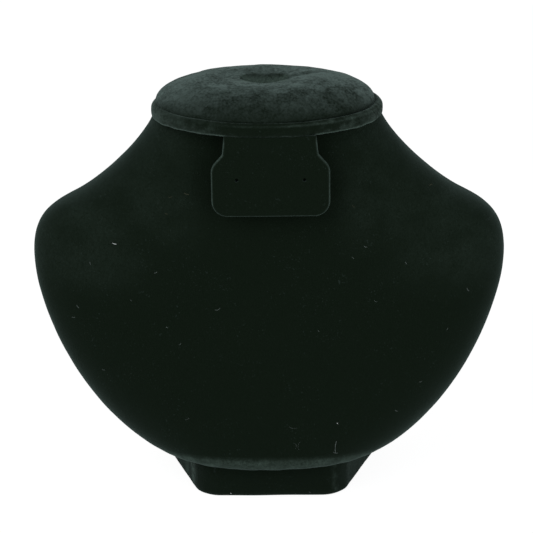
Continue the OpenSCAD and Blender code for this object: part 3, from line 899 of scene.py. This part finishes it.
bmesh.ops.triangle_fill(
    card, use_beauty=True, use_dissolve=False, edges=card.edges[:], normal=(0, -1, 0)
)
cuts = [((k * MESH_STEP, 0, 0), (1, 0, 0)) for k in range(-9, 10)]
cuts += [((0, 0, -k * MESH_STEP), (0, 0, 1)) for k in range(1, 13)]
for place, across in cuts:
    parts = card.verts[:] + card.edges[:] + card.faces[:]
    bmesh.ops.bisect_plane(card, geom=parts, plane_co=place, plane_no=across)
bmesh.ops.remove_doubles(card, verts=card.verts, dist=0.02 * MM)
bmesh.ops.triangulate(card, faces=card.faces)
in_order(card)
print("card's front sheet:", len(card.faces), "faces")


# %% Card thickness
def near_hole(place):
    """True for the rims of the two post holes."""
    holes = [Vector((side * HOLE_GAP / 2, -HOLE_DROP)) for side in (-1, 1)]
    return any((place.xz - hole).length < 1.2 * HOLE_R for hole in holes)


def outward(point):
    """The direction square to the card's outline at a point of it, long enough for a mitre."""
    total = Vector()
    for edge in point.link_edges:
        if edge.is_boundary:
            middle = (edge.verts[0].co + edge.verts[1].co) / 2
            away = (edge.verts[1].co - edge.verts[0].co).cross(Vector((0, 1, 0))).normalized()
            total += away if away.dot(middle - edge.link_faces[0].calc_center_median()) > 0 else -away
    return 2 * total / total.length_squared


ROLL_STEPS = 8
flat_place = card.verts.layers.float_vector.new("flat_place")
roll_way = card.verts.layers.float_vector.new("roll_way")
for point in card.verts:
    point[flat_place] = point.co
    rolled = point.is_boundary and not near_hole(point.co)
    point[roll_way] = outward(point) if rolled else Vector()
edges = [e for e in card.edges if e.is_boundary]
for edge in edges:
    edge.smooth = not near_hole(edge.verts[0].co)
back_sheet = bmesh.ops.duplicate(card, geom=card.verts[:] + card.edges[:] + card.faces[:])["geom"]
back_points = [v for v in back_sheet if isinstance(v, bmesh.types.BMVert)]
bmesh.ops.translate(card, verts=back_points, vec=(0, CARD_T, 0))
for a in [k * pi / ROLL_STEPS for k in range(1, ROLL_STEPS + 1)]:
    points, edges = grow(card, edges)
    for point in points:
        depth = Vector((0, CARD_T / 2 * (1 - cos(a)), 0))
        point.co = point[flat_place] + point[roll_way] * EDGE_ROLL * sin(a) + depth
bmesh.ops.remove_doubles(card, verts=card.verts, dist=0.005 * MM)
open_edges = sum(not e.is_manifold for e in card.edges)
print("card:", len(card.faces), "faces, open edges:", open_edges)

# %% [markdown]
# The card hangs from a tab that is glued under the cap. Its neck follows the cap's curved rim and is
# tucked into the velvet that is turned under there. Lower down it hangs flat and leans back a little.

# %% Card velvet
CARD_TUCK = 0.6 * MM


def rim_front(x):
    """How far forward the cap's rim stands at a distance x from its middle."""
    return cap_middle.y - cap_half.y * sqrt(1 - ((x - cap_middle.x) / cap_half.x) ** 2)


for point in card.verts:
    x, y, z = point.co
    follow = 1 - swell(-z, 1 * MM, 8 * MM)
    flat = CARD_FRONT + z * tan(CARD_TILT)
    front = flat + min(0, rim_front(x + CARD_MIDDLE) + 0.1 * MM - flat) * follow
    loose = ripples(Vector((x, 0, z)), (0.18, 14, 14), (0.05, 4, 15)) * MM
    tucked = CARD_TUCK * (1 - swell(-z, 0, 2 * MM))
    point.co = Vector((x + CARD_MIDDLE, front + y + loose, CARD_TOP + tucked + z * cos(CARD_TILT)))
tab = bmesh.ops.create_cube(card, size=1)["verts"]
tab_place = (CARD_MIDDLE, CARD_FRONT + 3.2 * MM, CARD_TOP - CARD_T / 2 - 0.1 * MM)
bmesh.ops.scale(card, verts=tab, vec=(CARD_NECK_W - 1 * MM, 4.4 * MM, CARD_T - 0.2 * MM))
bmesh.ops.translate(card, verts=tab, vec=tab_place)
bevelled(card, list({e for v in tab for e in v.link_edges}), 0.4 * MM, 2)
in_order(card)


def card_edge_sheen(point):
    """Painted sheen all along the card's folded edges."""
    folded = 1 - swell(abs(point.normal.y), 0.6, 0.97)
    folded *= swell(CARD_TOP - point.co.z, 0.3 * MM, 1.5 * MM)
    return folded * min(1, point[roll_way].length) * (0.42 + 0.22 * ripple(point.co, 5 * MM, 20))


card_piece = dress("card_cover", card, "flap_velvet", velvet_bust, painted_highlight=card_edge_sheen)

# %% [markdown]
# The foot is a block that widens to the back, with velvet over its top and sides. A tapered cube has
# square corners and few points, so the outline is drawn with arcs for corners and extruded from level
# to level, up the sides and in over the top, with short steps where the edge is soft.

# %% Foot outline
foot_low, foot_high = node_box("foot_velvet")
FOOT_FRONT_W = 58.6 * MM
FOOT_FLARE = radians(20)
FOOT_CORNER_R = 11 * MM
SOLE_MARGIN = 6 * MM
foot_depth = foot_high.y - foot_low.y
FOOT_BACK_W = FOOT_FRONT_W + 2 * foot_depth * tan(FOOT_FLARE)
foot_middle = (foot_low + foot_high) / 2
foot_half = (foot_high - foot_low) / 2

foot = bmesh.new()
front_corners = [foot.verts.new((side * FOOT_FRONT_W / 2, foot_low.y, foot_low.z)) for side in (-1, 1)]
back_corners = [foot.verts.new((side * FOOT_BACK_W / 2, foot_high.y, foot_low.z)) for side in (1, -1)]
foot.faces.new(front_corners + back_corners)
for corners, turn in ((front_corners, pi / 2 - FOOT_FLARE), (back_corners, pi / 2 + FOOT_FLARE)):
    bevelled(foot, corners, FOOT_CORNER_R * tan(turn / 2), 10, affect="VERTICES", clamp=False)
bmesh.ops.delete(foot, geom=foot.faces[:], context="FACES_ONLY")
bmesh.ops.subdivide_edges(foot, edges=[e for e in foot.edges if e.calc_length() > 8 * MM], cuts=23)
outline_edges = foot.edges[:]
print("foot's outline:", len(outline_edges), "edges")

# %% Foot levels
# How far each level is drawn in, and its height, in mm.
UNDER = [(3.0, 0.0), (1.0, 0.0), (0.3, 0.3), (0.0, 1.0)]
SIDES = [(0.0, z) for z in (3.5, 6.0, 8.5, 11.0, 13.0, 14.4)]
OVER = [(0.45, 15.3), (1.4, 15.8), (3.0, 15.8), (7.0, 15.8), (13.0, 15.8), (20.0, 15.8)]
SOLE_H = 0.75


def next_level(edges, inset, z, before):
    """Extrudes a level's edges: drawn in by inset instead of before, at a height z, all in mm."""
    points, edges = grow(foot, edges)
    shrink = Vector((
        (foot_half.x - inset * MM) / (foot_half.x - before * MM),
        (foot_half.y - inset * MM) / (foot_half.y - before * MM),
    ))
    for point in points:
        point.co.x = foot_middle.x + (point.co.x - foot_middle.x) * shrink.x
        point.co.y = foot_middle.y + (point.co.y - foot_middle.y) * shrink.y
        point.co.z = foot_low.z + z * MM
    return edges


for point in foot.verts:
    point.co.x *= 1 - SOLE_MARGIN / foot_half.x
    point.co.y = foot_middle.y + (point.co.y - foot_middle.y) * (1 - SOLE_MARGIN / foot_half.y)
before = SOLE_MARGIN / MM
sole_edges = next_level(outline_edges, before, SOLE_H, before)
bmesh.ops.contextual_create(foot, geom=sole_edges)
level_edges = outline_edges
for inset, z in UNDER + SIDES + OVER:
    level_edges = next_level(level_edges, inset, z, before)
    before = inset
bmesh.ops.contextual_create(foot, geom=level_edges)
bmesh.ops.poke(foot, faces=[f for f in foot.faces if len(f.verts) > 4])
in_order(foot)
print("foot:", len(foot.faces), "faces")

# %% [markdown]
# The wrap leaves small folds by the front corners, where the cloth had to be drawn round them, and pale
# streaks are painted along them where they catch the light.

# %% Foot velvet
foot = rounded_by_subdivision(foot, 1)
for point in foot.verts:
    place = point.co
    side = 1 - swell(abs(point.normal.z), 0.4, 0.9)
    folds = 0.35 * ripple(Vector((place.x, place.y, 0.2 * place.z)), 5 * MM, 12)
    corner = bell(abs(place.x) - FOOT_FRONT_W / 2 + 1 * MM, 5 * MM)
    corner *= bell(place.y - foot_low.y, 14 * MM)
    uneven = 0.12 * ripple(place, 15 * MM, 13)
    point.co = place + point.normal * (side * (0.25 + corner) * folds + uneven) * MM


def corner_highlights(point):
    """Painted highlights: pale streaks down the folds by the front corners, and a faint line along the
    bottom.
    """
    place = point.co
    bend = 0.4 * MM * ripple(place, 4 * MM, 21)
    streak = 0.9 * bell(place.x + 33.0 * MM + bend, 0.8 * MM)
    streak += 0.6 * bell(place.x + 36.0 * MM - bend, 0.7 * MM)
    streak += 0.35 * bell(place.x - 26.5 * MM + bend, 0.9 * MM)
    drawn = streak * (0.5 + 1.0 * ripple(place, 2 * MM, 18))
    edge = bell(place.z - foot_low.z - 0.6 * MM, 0.5 * MM)
    drawn *= 1 - swell(place.y - foot_low.y, 20 * MM, 30 * MM)
    return max(0, drawn + 0.15 * edge) * (1 - swell(abs(point.normal.z), 0.5, 0.9))


foot_piece = dress("foot_cover", foot, "foot_velvet", velvet_foot, painted_highlight=corner_highlights)

# %% [markdown]
# Dark velvet gathers lint. Hair particles would fall anywhere, but the photograph shows where the
# larger fibres lie. So each is a thin bent tube, whose path is drawn in the photograph's pixels and
# laid on the velvet by the camera's rays. A speck is a very short fibre.

# %% Lint to be laid
# Each fibre: its start and its way across and down in pixels, its bend, and its radius in mm.
WHITE_SPECKS = [
    (337, 423, 0.7, 0.7, 0.0, 0.13), (230.5, 493, 0.8, 0.6, 0.0, 0.13), (112.5, 243, 4, 1, 0.5, 0.09),
]
PALE_FIBRES = [
    (154, 273, 3, -1, 0.5, 0.08), (215, 310, 5, -2, 1.0, 0.08), (166, 327, 2, 1, 0.0, 0.09),
    (77, 305, 2, 3, 0.5, 0.08), (72, 317, 3, 0, 0.5, 0.07), (364, 246, 3, 1, 0.5, 0.08),
    (352, 257, 2, 2, 0.0, 0.07), (467, 288, 2, 3, 0.5, 0.08), (419, 382, 3, -1, 0.5, 0.07),
    (102, 369, 3, 1, 0.5, 0.07), (179, 345, 2, -2, 0.5, 0.07), (309, 492, 1.5, 0.5, 0.0, 0.09),
    (336.5, 441, -1, 12, 0.8, 0.08), (333, 452, 5, 1, 0.5, 0.08), (293, 443, 2, 6, -2.5, 0.03),
    (300, 442, -1, 8, 1.5, 0.027), (289, 427, 8, 1, 1.0, 0.025), (185, 420, 4, -2, 0.5, 0.035),
    (374, 300, 3, 2, 0.5, 0.06), (405, 262, 2, 2, 0.0, 0.06), (130, 300, 2, 1, 0.0, 0.06),
    (318, 330, 1, 2, 0.0, 0.06), (446, 330, 2, -2, 0.5, 0.06), (90, 262, 1, 3, 0.5, 0.06),
    (395, 410, 3, 1, 0.5, 0.06),
]
STRAW_FIBRES = [
    (184, 193, 5, 1.5, 0.5, 0.06), (168, 197, 4, -0.5, 0.5, 0.04), (165, 213, 3, 1, 0.5, 0.04),
    (352, 205, 3, 2, 0.5, 0.04), (429, 185, 3, -1, 0.5, 0.06),
]
LINT = {
    "white_specks": (WHITE_SPECKS, (0.55, 0.58, 0.57), (0.40, 0.43, 0.42), 1 * MM),
    "pale_lint": (PALE_FIBRES, (0.095, 0.115, 0.108), (0.040, 0.055, 0.050), 1.5 * MM),
    "straw_lint": (STRAW_FIBRES, (0.060, 0.058, 0.028), (0.035, 0.036, 0.018), 1.5 * MM),
}
velvet_trees = []
for piece in (bust_piece, cap_piece, pad_piece, card_piece, foot_piece):
    mesh = piece.data
    corners, faces = [v.co for v in mesh.vertices], [p.vertices for p in mesh.polygons]
    velvet_trees.append(BVHTree.FromPolygons(corners, faces))
print("velvets that can carry lint:", len(velvet_trees))


# %% Lint
def on_velvet(x, y, lift):
    """The point of the velvet that shows at a pixel, lifted a little off it, or None."""
    hits = [tree.ray_cast(camera_place, pixel_ray(x, y)) for tree in velvet_trees]
    hits = [hit for hit in hits if hit[0] is not None]
    if not hits:
        return None
    nearest = min(hits, key=lambda hit: hit[3])
    return nearest[0] - lift * pixel_ray(x, y)


def lay_fibre(shape, x, y, across, down, bend, radius):
    """Adds one fibre to a bmesh, and says how many it laid, 1 or 0."""
    path = []
    for t in (0, 0.25, 0.5, 0.75, 1):
        bow = 4 * t * (1 - t) * bend / max(1, Vector((across, down)).length)
        place = on_velvet(x + t * across - bow * down, y + t * down + bow * across, 0.6 * radius * MM)
        if place is None:
            return 0
        path.append(place)
    turn = (path[-1] - path[0]).to_track_quat("Z", "Y").to_matrix().to_4x4()
    placing = Matrix.Translation(path[0]) @ turn
    points = bmesh.ops.create_circle(shape, segments=6, radius=radius * MM, matrix=placing)["verts"]
    first = edges = list({e for v in points for e in v.link_edges})
    for here, there in zip(path, path[1:]):
        points, edges = grow(shape, edges)
        bmesh.ops.translate(shape, verts=points, vec=there - here)
    for loop in (first, edges):
        bmesh.ops.contextual_create(shape, geom=loop)
    return 1


for name, (fibres, light, dark, spots) in LINT.items():
    strands = bmesh.new()
    laid = sum(lay_fibre(strands, *fibre) for fibre in fibres)
    lint = finish_mesh(name, in_order(strands))
    lint.data.materials.append(plain(name, light, dark, spots, 0.9))
    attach(lint, "root")
    print(name, "fibres:", laid, "of", len(fibres))

# %% [markdown]
# The solids that stay as they are get the hidden finishes. Their shapes are right already, so only
# what is in their material slots changes.

# %% Finishes of the hidden solids
finishes = {
    "bust_shell": moulded, "back_panel": fibreboard, "base_block": black_card,
    "neck_plate": fibreboard, "cap_board": fibreboard, "flap_card": black_card,
    "foot_block": fibreboard, "foot_sole": black_card, "foot_screws": zinc, "cap_screws": zinc,
}
for node, finish in finishes.items():
    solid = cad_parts[node].data
    solid.materials.clear()
    solid.materials.append(finish)
print("finished nodes:", len(finishes))

# %% [markdown]
# The photograph's background is pure white. The floor is pale and keeps the stand's soft shadow,
# and what the camera sees of the world is white, while the light that it gives stays at a plain level.

# %% Floor
FLOOR_HALF = 6
PAPER_WHITE = (0.94, 0.94, 0.94, 1)
GLOW = 1.09
GLOW_SHARE = 0.85
floor_shape = bmesh.new()
bmesh.ops.create_grid(floor_shape, x_segments=1, y_segments=1, size=FLOOR_HALF)
floor_mesh = bpy.data.meshes.new("floor")
floor_shape.to_mesh(floor_mesh)
floor_shape.free()
floor = bpy.data.objects.new("floor", floor_mesh)
scene.collection.objects.link(floor)
paper = Graph(bpy.data.materials.new("white_paper"))
matte = paper.add("ShaderNodeBsdfPrincipled", None, {
    "Base Color": PAPER_WHITE, "Roughness": 0.9, "Specular IOR Level": 0.1,
})
glow = paper.add("ShaderNodeEmission", None, {"Color": (1, 1, 1, 1), "Strength": GLOW})
to_eye = paper.add("ShaderNodeLightPath", output="Is Camera Ray")
floor_look = paper.add("ShaderNodeMixShader", None, {0: GLOW_SHARE * to_eye, 1: matte, 2: glow})
floor_mesh.materials.append(paper.surface(floor_look))
print("floor in metres:", 2 * FLOOR_HALF)

# %% World
DAYLIGHT = (0.95, 0.98, 1.0, 1)
DAYLIGHT_LEVEL = 0.56
sky = Graph(bpy.data.worlds.new("world"))
lit = sky.add("ShaderNodeBackground", None, {"Color": DAYLIGHT, "Strength": DAYLIGHT_LEVEL})
seen = sky.add("ShaderNodeBackground", None, {"Color": (1, 1, 1, 1)})
rays = sky.add("ShaderNodeLightPath", output="Is Camera Ray")
scene.world = sky.surface(sky.add("ShaderNodeMixShader", None, {0: rays, 1: lit, 2: seen}))
print("world:", scene.world.name)

# %% [markdown]
# Two wide square lamps stand for soft boxes, left and right in front of the stand, so that the
# shadows stay soft and the nap gets light from both sides.

# %% Lamps
LAMP_AIM = Vector((0, 0, 0.09))


def soft_lamp(name, place, size, watts):
    """A square lamp of the given size in metres that points at the middle of the stand."""
    lamp = bpy.data.lights.new(name, "AREA")
    lamp.shape = "SQUARE"
    lamp.size = size
    lamp.energy = watts
    holder = bpy.data.objects.new(name, lamp)
    turn = (LAMP_AIM - Vector(place)).to_track_quat("-Z", "Y").to_matrix().to_4x4()
    holder.matrix_world = Matrix.Translation(place) @ turn
    scene.collection.objects.link(holder)


soft_lamp("key_lamp", (-0.65, -0.8, 0.85), size=0.9, watts=8.5)
soft_lamp("fill_lamp", (0.7, -0.85, 0.4), size=0.8, watts=5.0)

# %% [markdown]
# The Standard view shows colours as they are written.

# %% View settings
scene.view_settings.view_transform = "Standard"
